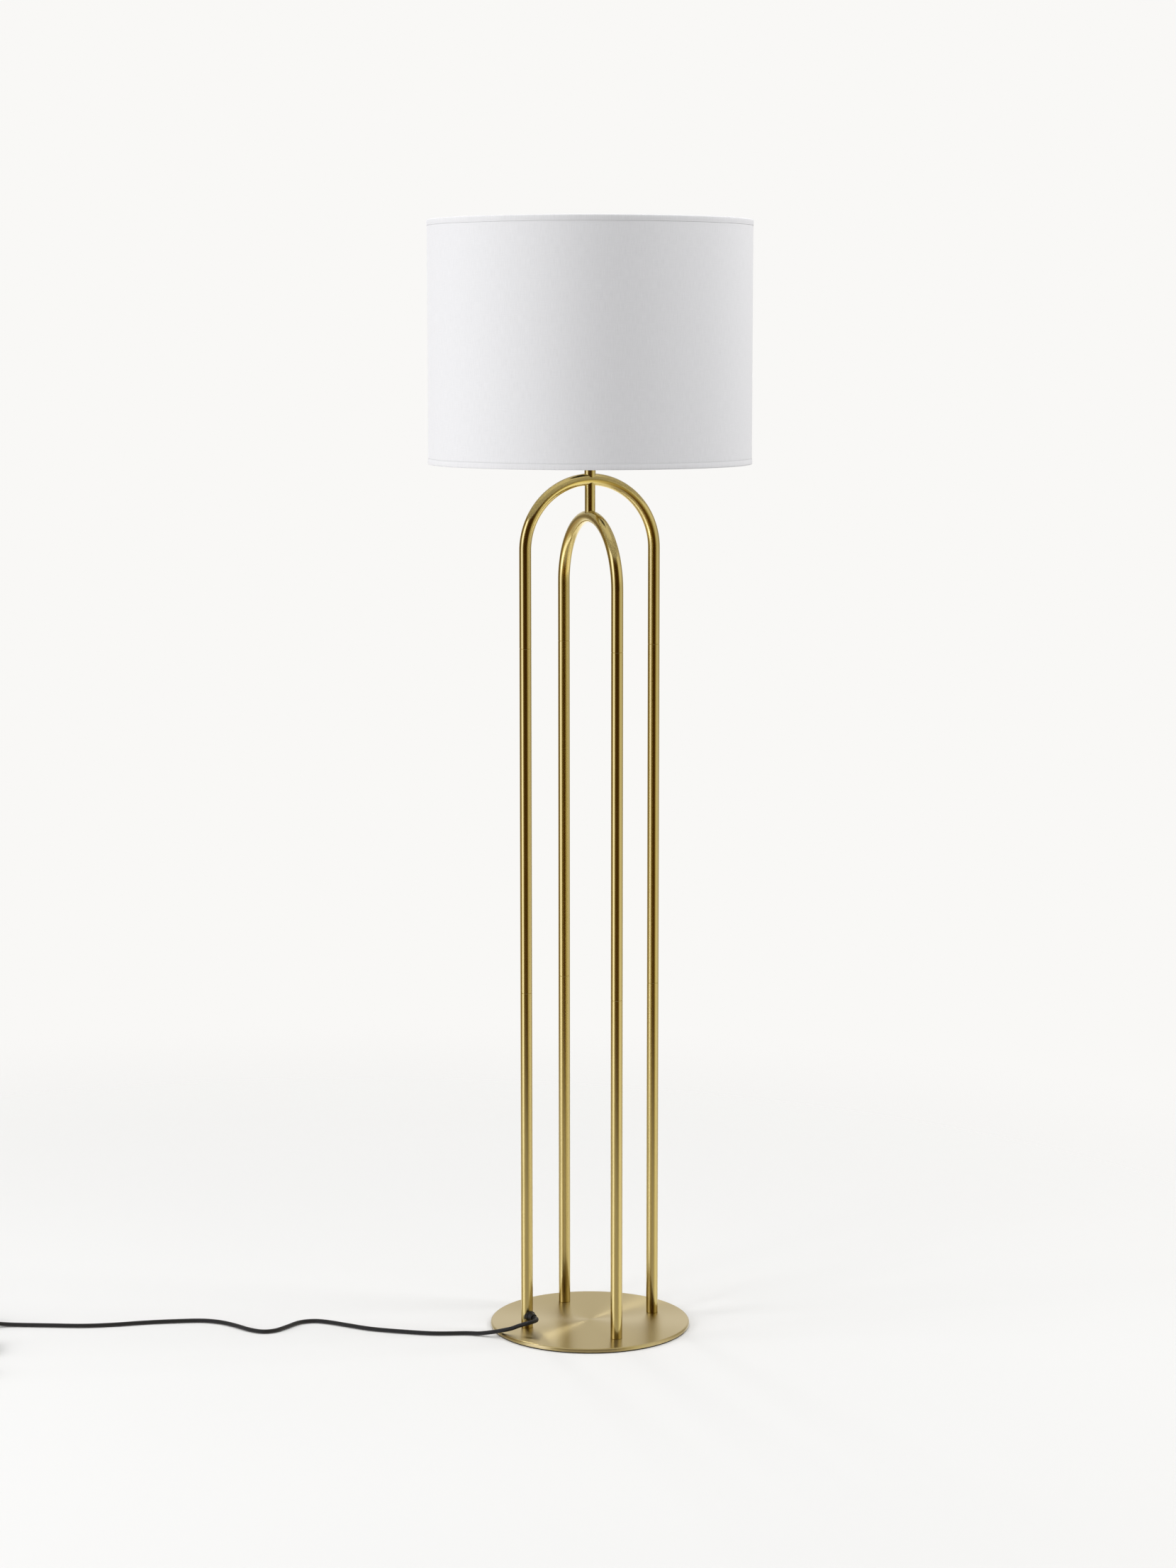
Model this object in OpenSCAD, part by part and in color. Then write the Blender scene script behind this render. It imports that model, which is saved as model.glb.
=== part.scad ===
// Floor lamp: a round plate, four tubular legs that end in two crossed arches, and a drum shade.
// Millimetres, +Z up. The origin is the centre of the underside, where the lamp meets the floor.

/* [Base] */
// Diameter of the base plate
base_d = 273; // [250:1:340]
// Thickness of the base plate
base_t = 5; // [4:0.5:10]
// Radius of the rounded upper edge of the plate
base_edge_r = 2.5; // [1:0.5:3.5]
// Thickness of the pad under the plate
pad_t = 1.5; // [1:0.5:4]
// How far the pad stands back from the plate's edge
pad_inset = 1.5; // [1:0.5:6]

/* [Legs] */
// Outside diameter of the leg tubes
tube_d = 16; // [14.5:0.5:20]
// Wall of the leg tubes
tube_wall = 1; // [0.8:0.1:1.5]
// Distance between the centres of two opposite legs
leg_span = 186; // [150:1:220]
// Length of each lower tube
lower_len = 465; // [300:5:600]
// Length of each middle tube
middle_len = 465; // [300:5:600]
// Straight length of each leg of the higher arch
arch_leg = 130; // [90:5:200]
// How far the lower arch's crown is under the higher one
crown_drop = 49; // [40:1:60]
// Chamfer at the ends of the tubes
seam_chamfer = 0.4; // [0.2:0.1:0.8]

/* [Neck] */
// Outside diameter of the post between the two crowns
post_d = 14; // [10:0.5:14]
// Wall of the post
post_wall = 1.5; // [1:0.1:2]
// Outside diameter of the neck over the higher crown
neck_d = 15; // [14:0.5:15.5]
// Wall of the neck
neck_wall = 1; // [0.8:0.1:1.2]
// Height of the neck over the top of the higher arch
neck_len = 24; // [18:1:60]

/* [Lampholder] */
// Outside diameter of the lampholder over its thread
holder_d = 40; // [38:0.5:44]
// Height of the lampholder's cap
cap_h = 20; // [18:0.5:26]
// Height of the lampholder's threaded skirt
skirt_h = 38; // [36:0.5:50]
// Inside diameter of the lamp shell
shell_bore = 27; // [26.8:0.1:27.5]
// Diameter of the bulb
bulb_d = 60; // [45:1:70]
// Height of the bulb over the lampholder
bulb_h = 92; // [85:1:120]

/* [Shade] */
// Diameter of the shade
shade_d = 430; // [340:5:500]
// Height of the shade
shade_h = 320; // [240:5:400]
// Thickness of the cloth
cloth_t = 0.5; // [0.4:0.1:1]
// Thickness of the stiff lining that the cloth is glued to
lining_t = 1; // [0.8:0.1:1.5]
// Diameter of the wire rings
ring_wire = 3.5; // [3:0.5:5]
// Height of the rolled hems
hem_h = 8; // [6:0.5:14]
// How far the fitter's hub is over the lower edge of the shade
fitter_rise = 52; // [30:1:60]

/* [Cord] */
// Diameter of the cord
cord_d = 5.6; // [5:0.1:6]
// Height of the cord's hole over the base plate
exit_h = 17; // [16:0.5:40]
// Direction in which the cord leaves the left leg
exit_turn = -78; // [-100:1:-60]
// Diameter of the foot switch
switch_d = 56; // [54:1:64]
// Travel of the foot switch's button
button_travel = 3; // [1.5:0.5:3.5]

/* [Hidden] */
$fn = 64;

// fits and gaps
thread_gap = 0.03;   // between a screw and its tapped hole
press_gap = 0.02;    // round a piece that is pressed in
weld_gap = 0.02;     // between a fish-mouthed end and the tube under it
slip_gap = 0.1;      // round a piece that only passes through
turn_gap = 0.4;      // between the shade's hub and the lampholder
end_gap = 0.2;       // between the end of a lead and its sleeve
side_gap = 0.3;      // over and under the shade's hub
button_gap = 0.3;    // round the foot switch's button
spring_gap = 0.05;   // at each end of the spring
cut = 1;             // how far a cutting shape runs past a face
sliver = 0.01;       // how far a countersink runs past its face

// heights up the lamp
tube_r = tube_d / 2;
tube_bore_r = tube_r - tube_wall;
leg_r = leg_span / 2;
base_top = pad_t + base_t;
lower_top = base_top + lower_len;
middle_top = lower_top + middle_len;
outer_crown = middle_top + arch_leg + leg_r;
inner_crown = outer_crown - crown_drop;
crown_top = outer_crown + tube_r;
neck_top = crown_top + neck_len;
LEGS = [["left", 180], ["front", 270], ["right", 0], ["back", 90]];

// fasteners in the base and the tubes
screw_r = 3;
screw_head_r = 6;
screw_head_h = 3.3;
screw_len = base_t + 12;
screw_key = 4;
pad_hole_r = screw_head_r + 1.5;
plug_len = 12;
socket_len = 16;
stud_len = 12;
stud_r = 5.5;
wire_way_r = 4;

// the nipple, the nut and the lampholder
nipple_r = 5;
nipple_bore_r = 3.75;
bush_len = 14;
nut_h = 4;
nut_across = 14;
holder_z = neck_top + nut_h;
cap_wall = 2;
cap_floor = 3;
holder_r = holder_d / 2;
ridge = 0.5;
ridge_pitch = 2.5;
skirt_z = holder_z + cap_h;
skirt_wall = 2.5;
core_h = 8;
core_z = skirt_z - 2;
core_top = core_z + core_h;
shell_r = shell_bore / 2;
shell_wall = 0.5;
shell_h = 25;
hub_z = skirt_z + 16.5;
hub_t = 1.5;
shade_nut_h = 6.5;
shade_nut_r = holder_r + 8;
shade_nut_bore_r = holder_r + slip_gap;
terminal_x = 9;
terminal_r = 1.5;
terminal_len = 5.5;
terminal_head_r = 2.8;
terminal_head_h = 2;

// the bulb
bulb_tip_z = core_top + 5;
bulb_cap_r = shell_r - 0.4;
bulb_cap_z = bulb_tip_z + 4.5;
bulb_cap_h = 25;
glass_t = 1;

// the shade
shade_bottom = hub_z - fitter_rise;
shade_top = shade_bottom + shade_h;
cloth_r = shade_d / 2;
glue_gap = 0.1;
lining_r = cloth_r - cloth_t - glue_gap;
ring_r = lining_r - lining_t - glue_gap - ring_wire / 2;
hem_t = 0.5;
hem_out_r = cloth_r + glue_gap + hem_t;
hem_in_r = ring_r - ring_wire / 2 - glue_gap - hem_t;
ring_z = hem_t + glue_gap + ring_wire / 2;
hem_turn = 1.6;
hem_fold = hem_h + 1;
arm_d = 4;
arm_r = hem_in_r - 4;
foot_z = shade_bottom + hem_fold + arm_d / 2 + slip_gap;
lining_in_r = lining_r - lining_t - slip_gap;
hub_r = holder_r + 7;
arm_turns = [60, 180, 300];

// where the cord leaves the left leg
exit_z = base_top + exit_h;
exit_dir = [cos(exit_turn), sin(exit_turn), 0];
exit_side = [-sin(exit_turn), cos(exit_turn), 0];
leg_left = [-leg_r, 0, 0];
grip_hole_r = 4.2;
grip_flange_r = 7.2;
grip_flange_t = 2.4;
grip_nose_r = 6.2;
grip_tip_r = 5;
grip_reach = tube_r + 9;
grip_in = 4;
core_d = 2.2;
core_gap = 0.3;
core_way_r = 2.4;
cord_r = cord_d / 2;
cord_exit = leg_left + grip_reach * exit_dir + [0, 0, exit_z];

// the foot switch lies where the first stretch of cord ends
switch_at = [-797, 313];
switch_turn = 157;
switch_r = switch_d / 2;
switch_base_h = 5;
switch_h = 20;
switch_wall = 2;
entry_z = 5;
entry_r = 4;
sleeve_out = 8;
sleeve_tip_r = 3.6;
button_r = 10.7;
button_h = 11;
button_proud = button_travel + 1;
button_flange_r = 13;
button_flange_t = 1.5;
button_hollow = 3;
button_z = switch_h + button_proud - button_h;
switch_screw_r = 1.5;
switch_screw_at = 20;
switch_head_r = 3;
switch_head_h = 1.7;
switch_thread = 8;
boss_r = 4;
spring_r = 5;
spring_wire = 0.8;
spring_turns = 5;
block_h = 4;
spring_z = switch_wall + block_h;

// the plug lies past the coil
plug_at = [-861, 136];
plug_turn = -62;
plug_w = 35.3;
plug_t = 13.7;
plug_l = 34;
plug_z = plug_t / 2;
plug_back_w = 14;
plug_sleeve_l = 18;
pin_r = 2;
pin_len = 19;
pin_in = 9.9;
pin_nose = 1.2;
pin_root_r = 1.7;
pin_space = 18.6;

// the coil of spare cord
coil_at = [-824, 200];
coil_mid_r = 31;
coil_wide = 3;
coil_high = 3;
coil_out_r = coil_mid_r + coil_wide * cord_r;
coil_in_r = coil_mid_r - coil_wide * cord_r;
coil_top = 0.1 + coil_high * cord_d;
coil_bevel = 2.5;
tie_w = 12;
tie_t = 0.8;
tie_turn = 35;

// cord routes, as points along the centre line
floor_z = cord_r + 0.1;
straight = 6;        // how far a lead runs straight before its sleeve
switch_dir = [cos(switch_turn), sin(switch_turn), 0];
sleeve_reach = switch_r + sleeve_out;
switch_centre = [switch_at[0], switch_at[1], entry_z];
lamp_lead_route = concat(
  [cord_exit, cord_exit + 3 * exit_dir],
  [[-89, -25, 24], [-92, -31, 24], [-98, -34.5, 24], [-105.5, -34, 22.5], [-115, -27.5, 18.5],
   [-124.5, -20.5, 13.5], [-134, -13.5, 10.2], [-144, -7, 7.4], [-160, 5, 3.8],
   [-176, 16, floor_z], [-217, 32, floor_z], [-255, 57, floor_z], [-289, 84, floor_z],
   [-313, 112, floor_z], [-333, 136, floor_z], [-350, 149, floor_z], [-371, 150, floor_z],
   [-395, 136, floor_z], [-413, 127, floor_z], [-430, 129, floor_z], [-444, 145, floor_z],
   [-456, 170, floor_z], [-471, 193, floor_z], [-493, 210, floor_z], [-530, 222, floor_z],
   [-568, 231, floor_z], [-611, 238, floor_z], [-650, 249, floor_z], [-695, 270, floor_z],
   [-738, 290, 3.2]],
  [for (d = [straight, end_gap]) switch_centre - (sleeve_reach + d) * switch_dir]);
switch_lead_route = concat(
  [for (d = [end_gap, straight]) switch_centre + (sleeve_reach + d) * switch_dir],
  [[-842, 331.2, 4.2], [-852, 332, 3.3], [-863, 325, floor_z], [-869, 312, floor_z],
   [-870, 296, floor_z], [-867, 274, floor_z], [-863, 250, floor_z], [-861, 228, floor_z],
   [-860.6, 212, floor_z]]);
plug_dir = [cos(plug_turn), sin(plug_turn), 0];
plug_centre = [plug_at[0], plug_at[1], plug_z];
plug_lead_route = concat(
  [[-860.6, 200, 14.1], [-861, 191, 13.2], [-862.5, 182, 11.5], [-865, 170, 8], [-866, 158, 4.9],
   [-865.5, 149, 5.3]],
  [for (d = [straight, end_gap]) plug_centre - d * plug_dir]);

// points on an arc
function arc(c, r, a0, a1, n) = [for (i = [0:n]) let(a = a0 + (a1 - a0) * i / n)
  [c[0] + r * cos(a), c[1] + r * sin(a)]];

// a smooth curve through the points of a route, with a point about every step
function unit(v) = v / norm(v);
function between(p, i, t) = let(
    a = i > 0 ? p[i - 1] : 2 * p[0] - p[1],
    b = p[i],
    c = p[i + 1],
    d = i + 2 < len(p) ? p[i + 2] : 2 * p[i + 1] - p[i])
  0.5 * (2 * b + (c - a) * t + (2 * a - 5 * b + 4 * c - d) * t * t + (3 * b - a - 3 * c + d) * t * t * t);
function smooth(p, step) = concat(
  [for (i = [0:len(p) - 2]) let(n = max(1, round(norm(p[i + 1] - p[i]) / step)))
    for (k = [0:n - 1]) between(p, i, k / n)],
  [p[len(p) - 1]]);

// directions along a line of points, and a side direction that turns with them
function headings(c) = [for (i = [0:len(c) - 1])
  unit(c[min(i + 1, len(c) - 1)] - c[max(i - 1, 0)])];
function beside(t) = unit(cross(t, abs(t[2]) < 0.9 ? [0, 0, 1] : [0, 1, 0]));
function sides(t) = [for (i = 0, u = beside(t[0]); i < len(t);
  i = i + 1, u = i < len(t) ? unit(u - (u * t[i]) * t[i]) : u) u];

// one closed tube along a line of points
module swept(c, r, n) {
  t = headings(c);
  s = sides(t);
  skin = [for (i = [0:len(c) - 1], j = [0:n - 1])
    c[i] + r * (cos(360 * j / n) * s[i] + sin(360 * j / n) * cross(t[i], s[i]))];
  last = (len(c) - 1) * n;
  walls = [for (i = [0:len(c) - 2], j = [0:n - 1]) let(k = (j + 1) % n)
    [i * n + j, (i + 1) * n + j, (i + 1) * n + k, i * n + k]];
  polyhedron(skin, concat([[for (j = [0:n - 1]) j]],
    walls, [[for (j = [n - 1:-1:0]) last + j]]), convexity = 10);
}

// a straight tube with chamfered ends
module tube(len, r, wall, chamfer = 0) {
  rotate_extrude()
    polygon([[r - wall, 0], [r - chamfer, 0], [r, chamfer], [r, len - chamfer],
      [r - chamfer, len], [r - wall, len]]);
}

// a ring with a plain bore
module washer(h, r, bore_r) {
  difference() {
    cylinder(h = h, r = r);
    translate([0, 0, -cut])
      cylinder(h = h + 2 * cut, r = bore_r);
  }
}

module at_leg(i) {
  rotate(LEGS[i][1])
    translate([leg_r, 0, 0])
      children();
}

module at_legs() {
  for (i = [0:3])
    at_leg(i)
      children();
}

// the half ring of an arch in the XZ plane, standing on its springing line
module half_ring(r, section_r) {
  rotate([90, 0, 0])
    rotate_extrude(angle = 180)
      translate([r, 0])
        circle(r = section_r);
}

module arch_cut(crown, turn) {
  translate([0, 0, crown - leg_r])
    rotate(turn)
      half_ring(leg_r, tube_r + weld_gap);
}

// a bent tube: half a ring on two straight legs
module arch(leg_len) {
  difference() {
    union() {
      translate([0, 0, leg_len])
        half_ring(leg_r, tube_r);
      for (side = [-1, 1])
        translate([side * leg_r, 0, 0])
          rotate_extrude()
            polygon([[0, 0], [tube_r - seam_chamfer, 0], [tube_r, seam_chamfer],
              [tube_r, leg_len], [0, leg_len]]);
    }
    translate([0, 0, leg_len])
      half_ring(leg_r, tube_bore_r);
    for (side = [-1, 1])
      translate([side * leg_r, 0, -cut])
        cylinder(h = leg_len + cut, r = tube_bore_r);
  }
}

module base_plate() {
  r = base_d / 2;
  color("#b8a27a")
    translate([0, 0, pad_t])
      difference() {
        rotate_extrude()
          polygon(concat([[0, 0], [r - 0.6, 0], [r, 0.6]],
            arc([r - base_edge_r, base_t - base_edge_r], base_edge_r, 0, 90, 8),
            [[0, base_t]]));
        at_legs() {
          translate([0, 0, -cut])
            cylinder(h = base_t + 2 * cut, r = screw_r + slip_gap);
          translate([0, 0, -sliver])
            cylinder(h = screw_head_h, r1 = screw_head_r + slip_gap, r2 = screw_r + slip_gap);
        }
      }
}

module base_pad() {
  color("#17171a")
    difference() {
      cylinder(h = pad_t, r = base_d / 2 - pad_inset);
      at_legs()
        translate([0, 0, -cut])
          cylinder(h = pad_t + 2 * cut, r = pad_hole_r);
    }
}

// countersunk screws with a hexagon socket, up through the plate into the legs
module base_screws() {
  color("#8f9296")
    at_legs()
      translate([0, 0, pad_t])
        difference() {
          union() {
            cylinder(h = screw_head_h, r1 = screw_head_r, r2 = screw_r);
            cylinder(h = screw_len, r = screw_r);
          }
          translate([0, 0, -cut])
            cylinder(h = cut + screw_head_h * 0.7, d = screw_key / cos(30), $fn = 6);
        }
}

module leg_plugs() {
  color("#9a9da1")
    at_legs()
      translate([0, 0, base_top])
        washer(plug_len, tube_bore_r - press_gap, screw_r + thread_gap);
}

module lower_tube(i) {
  color("#c2a661")
    difference() {
      at_leg(i)
        translate([0, 0, base_top])
          tube(lower_len, tube_r, tube_wall, seam_chamfer);
      if (LEGS[i][0] == "left")
        translate(leg_left + [0, 0, exit_z])
          rotate([0, 90, exit_turn])
            cylinder(h = tube_d, r = grip_hole_r);
    }
}

module lower_tube_left() { lower_tube(0); }
module lower_tube_front() { lower_tube(1); }
module lower_tube_right() { lower_tube(2); }
module lower_tube_back() { lower_tube(3); }

module middle_tube(i) {
  color("#c2a661")
    at_leg(i)
      translate([0, 0, lower_top])
        tube(middle_len, tube_r, tube_wall, seam_chamfer);
}

module middle_tube_left() { middle_tube(0); }
module middle_tube_front() { middle_tube(1); }
module middle_tube_right() { middle_tube(2); }
module middle_tube_back() { middle_tube(3); }

// tapped sockets pressed into the upper ends of the lower and middle tubes
module joint_sockets() {
  color("#c9ccd0")
    at_legs()
      for (z = [lower_top, middle_top])
        translate([0, 0, z - socket_len])
          washer(socket_len, tube_bore_r - press_gap, stud_r + thread_gap);
}

// hollow studs pressed into the piece above and screwed down into the sockets
module joint_studs() {
  color("#c9ccd0")
    at_legs()
      for (z = [lower_top, middle_top])
        translate([0, 0, z])
          difference() {
            union() {
              cylinder(h = socket_len, r = tube_bore_r - press_gap);
              translate([0, 0, -stud_len])
                cylinder(h = stud_len, r = stud_r);
            }
            translate([0, 0, -stud_len - cut])
              cylinder(h = socket_len + stud_len + 2 * cut, r = wire_way_r);
          }
}

module outer_arch() {
  color("#c2a661")
    difference() {
      translate([0, 0, middle_top])
        arch(arch_leg);
      translate([0, 0, outer_crown])
        cylinder(h = tube_d, r = wire_way_r);
    }
}

module inner_arch() {
  color("#c2a661")
    translate([0, 0, middle_top])
      rotate(90)
        arch(arch_leg - crown_drop);
}

module crown_post() {
  color("#c2a661")
    difference() {
      translate([0, 0, inner_crown])
        tube(crown_drop, post_d / 2, post_wall);
      arch_cut(inner_crown, 90);
      arch_cut(outer_crown, 0);
    }
}

module neck_tube() {
  color("#c2a661")
    difference() {
      translate([0, 0, outer_crown])
        tube(neck_top - outer_crown, neck_d / 2, neck_wall);
      arch_cut(outer_crown, 0);
    }
}

module neck_bush() {
  color("#9a9da1")
    translate([0, 0, neck_top - bush_len])
      washer(bush_len, neck_d / 2 - neck_wall - press_gap, nipple_r + thread_gap);
}

module neck_nipple() {
  color("#c9ccd0")
    translate([0, 0, neck_top - bush_len])
      washer(bush_len + nut_h + cap_floor + 3, nipple_r, nipple_bore_r);
}

module neck_nut() {
  color("#c9ccd0")
    translate([0, 0, neck_top])
      difference() {
        cylinder(h = nut_h, d = nut_across / cos(30), $fn = 6);
        translate([0, 0, -cut])
          cylinder(h = nut_h + 2 * cut, r = nipple_r + thread_gap);
      }
}

module holder_cap() {
  r = holder_r - ridge;
  bend = 7;
  color("#1b1b1d")
    translate([0, 0, holder_z])
      rotate_extrude()
        polygon(concat([[nipple_r + thread_gap, 0]],
          arc([r - bend, bend], bend, -90, 0, 6),
          [[r, cap_h], [r - cap_wall, cap_h]],
          arc([r - bend, bend + 1], bend - cap_wall, 0, -90, 6),
          [[nipple_r + thread_gap, cap_floor]]));
}

// the skirt's outer thread is drawn as separate rings
module holder_skirt() {
  r = holder_r - ridge;
  first = 3;
  ridges = floor((skirt_h - 2 * first) / ridge_pitch);
  zigzag = [for (i = [0:ridges - 1], k = [0:3]) let(z = first + i * ridge_pitch)
    [r + (k == 1 || k == 2 ? ridge : 0), z + [0, 0.6, 1.2, 1.8][k]]];
  color("#1b1b1d")
    translate([0, 0, skirt_z])
      rotate_extrude()
        polygon(concat([[r, 0]], zigzag, [[r, skirt_h - 1], [r - 1, skirt_h],
          [shell_r + shell_wall + 0.6, skirt_h], [shell_r + shell_wall + 0.6, core_h],
          [r - skirt_wall, core_h - 1], [r - skirt_wall, 0]]));
}

module holder_core() {
  color("#e9e4d8")
    translate([0, 0, core_z])
      difference() {
        cylinder(h = core_h, r = holder_r - ridge - skirt_wall - slip_gap);
        for (side = [-1, 1])
          translate([side * terminal_x, 0, -cut])
            cylinder(h = terminal_len + 0.5 + cut, r = terminal_r + thread_gap);
      }
}

module holder_shell() {
  r = shell_r + shell_wall;
  color("#c9a24a")
    translate([0, 0, core_top])
      rotate_extrude()
        polygon([[8, 0], [r, 0], [r, shell_h], [shell_r, shell_h], [shell_r, 0.6], [8, 0.6]]);
}

module holder_contact() {
  strip = 0.4;
  rise = bulb_tip_z - core_top - strip - slip_gap;
  color("#c9a24a")
    translate([0, 0, core_top])
      rotate([90, 0, 0])
        linear_extrude(height = 5, center = true)
          polygon([[-6, 0], [-1, 0], [4, rise], [5, rise], [5, rise + strip], [3.8, rise + strip],
            [-1.2, strip], [-6, strip]]);
}

module holder_screws() {
  color("#c9ccd0")
    for (side = [-1, 1])
      translate([side * terminal_x, 0, core_z]) {
        translate([0, 0, -terminal_head_h])
          cylinder(h = terminal_head_h, r = terminal_head_r);
        cylinder(h = terminal_len, r = terminal_r);
      }
}

module shade_nut(z) {
  color("#1b1b1d")
    translate([0, 0, z])
      difference() {
        washer(shade_nut_h, shade_nut_r, shade_nut_bore_r);
        for (i = [0:11])
          rotate(i * 30)
            translate([shade_nut_r + 0.6, 0, -cut])
              cylinder(h = shade_nut_h + 2 * cut, r = 1.8);
      }
}

module lower_shade_nut() { shade_nut(hub_z - hub_t / 2 - side_gap - shade_nut_h); }
module upper_shade_nut() { shade_nut(hub_z + hub_t / 2 + side_gap); }

// a pear-shaped glass envelope, open where the cap closes it
module bulb_globe() {
  r = bulb_d / 2;
  z0 = bulb_cap_z + bulb_cap_h;
  mid = skirt_z + skirt_h + bulb_h - r - z0;
  neck = bulb_cap_r + 0.4;
  outer = arc([0, mid], r, -38, 90, 22);
  inner = arc([0, mid], r - glass_t, 90, -38, 22);
  color("#f4f1ea")
    translate([0, 0, z0])
      rotate_extrude()
        polygon(concat([[neck, 0], [neck, 4]], outer, inner,
          [[neck - glass_t, 4], [neck - glass_t, 0]]));
}

module bulb_cap() {
  turns = 6;
  pitch = 3.2;
  zigzag = [for (i = [0:turns - 1], k = [0:3])
    [bulb_cap_r - [0.7, 0.1, 0.1, 0.7][k], 2 + i * pitch + [0, 1, 2, 3][k]]];
  color("#d8d9db")
    translate([0, 0, bulb_cap_z])
      rotate_extrude()
        polygon(concat([[0, 0], [8, 0], [bulb_cap_r - 0.7, 1.5]], zigzag,
          [[bulb_cap_r, bulb_cap_h - 3], [bulb_cap_r, bulb_cap_h], [0, bulb_cap_h]]));
}

module bulb_insulator() {
  color("#161616")
    translate([0, 0, bulb_tip_z + 1.5])
      rotate_extrude()
        polygon([[0, 0], [5.5, 0], [8, 3], [0, 3]]);
}

module bulb_tip() {
  color("#c9ccd0")
    translate([0, 0, bulb_tip_z])
      rotate_extrude()
        polygon([[0, 0], [3, 0], [4.5, 1.5], [0, 1.5]]);
}

module shade_cloth() {
  color("#f2f1ee")
    translate([0, 0, shade_bottom + hem_turn])
      tube(shade_h - 2 * hem_turn, cloth_r, cloth_t);
}

module shade_lining() {
  color("#f7f6f3")
    translate([0, 0, shade_bottom + hem_turn])
      tube(shade_h - 2 * hem_turn, lining_r, lining_t);
}

module wire_ring(z) {
  translate([0, 0, z])
    rotate_extrude()
      translate([ring_r, 0])
        circle(r = ring_wire / 2);
}

module top_ring() {
  color("#e8e8e6")
    wire_ring(shade_top - ring_z);
}

module bottom_ring() {
  color("#e8e8e6")
    wire_ring(shade_bottom + ring_z);
}

// the cloth tape folded over each wire ring
module hem() {
  color("#eeedea")
    rotate_extrude()
      polygon(concat([[hem_out_r, hem_h]],
        arc([hem_out_r - hem_turn, hem_turn], hem_turn, 0, -90, 5),
        arc([hem_in_r + hem_turn, hem_turn], hem_turn, -90, -180, 5),
        [[hem_in_r, hem_fold], [hem_in_r + hem_t, hem_fold]],
        arc([hem_in_r + hem_turn, hem_turn], hem_turn - hem_t, -180, -90, 5),
        arc([hem_out_r - hem_turn, hem_turn], hem_turn - hem_t, -90, 0, 5),
        [[hem_out_r - hem_t, hem_h]]));
}

module bottom_hem() {
  translate([0, 0, shade_bottom])
    hem();
}

module top_hem() {
  translate([0, 0, shade_top])
    mirror([0, 0, 1])
      hem();
}

// hub, and three arms that drop to the lining over the lower hem
module shade_fitter() {
  color("#e8e8e6")
    difference() {
      union() {
        translate([0, 0, hub_z - hub_t / 2])
          cylinder(h = hub_t, r = hub_r);
        for (a = arm_turns)
          rotate(a) {
            translate([hub_r - 4, 0, hub_z])
              rotate([0, 90, 0])
                cylinder(h = arm_r - hub_r + 4, r = arm_d / 2);
            translate([arm_r, 0, hub_z])
              sphere(r = arm_d / 2);
            translate([arm_r, 0, foot_z])
              cylinder(h = hub_z - foot_z, r = arm_d / 2);
            translate([arm_r, 0, foot_z])
              sphere(r = arm_d / 2);
            translate([arm_r, 0, foot_z])
              rotate([0, 90, 0])
                cylinder(h = lining_r - arm_r, r = arm_d / 2);
          }
      }
      translate([0, 0, hub_z - hub_t])
        cylinder(h = 2 * hub_t, r = holder_r + turn_gap);
      for (z = [hub_t / 2, -hub_t / 2 - shade_nut_h])
        translate([0, 0, hub_z + z])
          cylinder(h = shade_nut_h, r = shade_nut_r + turn_gap);
      translate([0, 0, shade_bottom])
        washer(shade_h, lining_r + cut, lining_in_r);
    }
}

// a rubber bush: the barrel sits in the leg's wall, and the nose tapers to the cord
module cord_grip() {
  flange_out = tube_r + grip_flange_t;
  soft = 0.8;
  color("#141416")
    translate(leg_left + [0, 0, exit_z])
      rotate([0, 90, exit_turn])
        difference() {
          union() {
            difference() {
              rotate_extrude()
                polygon(concat([[0, 0], [grip_flange_r, 0]],
                  arc([grip_flange_r - soft, flange_out - soft], soft, 0, 90, 4),
                  [[grip_nose_r, flange_out]],
                  arc([grip_tip_r - soft, grip_reach - soft], soft, 0, 90, 4),
                  [[0, grip_reach]]));
              rotate([0, 90, 0])
                cylinder(h = 2 * tube_d, r = tube_r + press_gap, center = true);
            }
            translate([0, 0, grip_in])
              cylinder(h = tube_r + 1 - grip_in, r = grip_hole_r - slip_gap);
          }
          cylinder(h = grip_reach + cut, r = core_way_r);
        }
}

// one insulated wire: in through the grip, up the left leg, over the arch and up the neck
module core(side) {
  off = side * (core_d + core_gap) / 2;
  turn_r = 5;
  sweep = 4;
  start = leg_left + (grip_reach - 0.5) * exit_dir + off * exit_side + [0, 0, exit_z];
  rise = [for (i = [0:sweep]) let(a = 90 * i / sweep)
    leg_left + off * exit_side + turn_r * (1 - sin(a)) * exit_dir
      + [0, 0, exit_z + turn_r * (1 - cos(a))]];
  mid_z = outer_crown - leg_r;
  bend = 5.25;
  over = [for (i = [0:14]) let(r = leg_r - off, a = 180 + (acos(-bend / leg_r) - 180) * i / 14)
    [r * cos(a), 0, mid_z + r * sin(a)]];
  up = [for (i = [1:sweep]) let(r = bend + off, a = 90 * i / sweep)
    [-bend + r * sin(a), 0, outer_crown + bend - r * cos(a)]];
  swept(concat([start], rise, over, up, [[off, 0, core_z - 0.5]]), core_d / 2, 8);
}

module core_live() {
  color("#6b3d1c")
    core(-1);
}

module core_neutral() {
  color("#2f62b5")
    core(1);
}

module lead(route) {
  color("#111113")
    swept(smooth(route, 2.5 * cord_d), cord_r, 8);
}

module lamp_lead() { lead(lamp_lead_route); }
module switch_lead() { lead(switch_lead_route); }
module plug_lead() { lead(plug_lead_route); }

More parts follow.
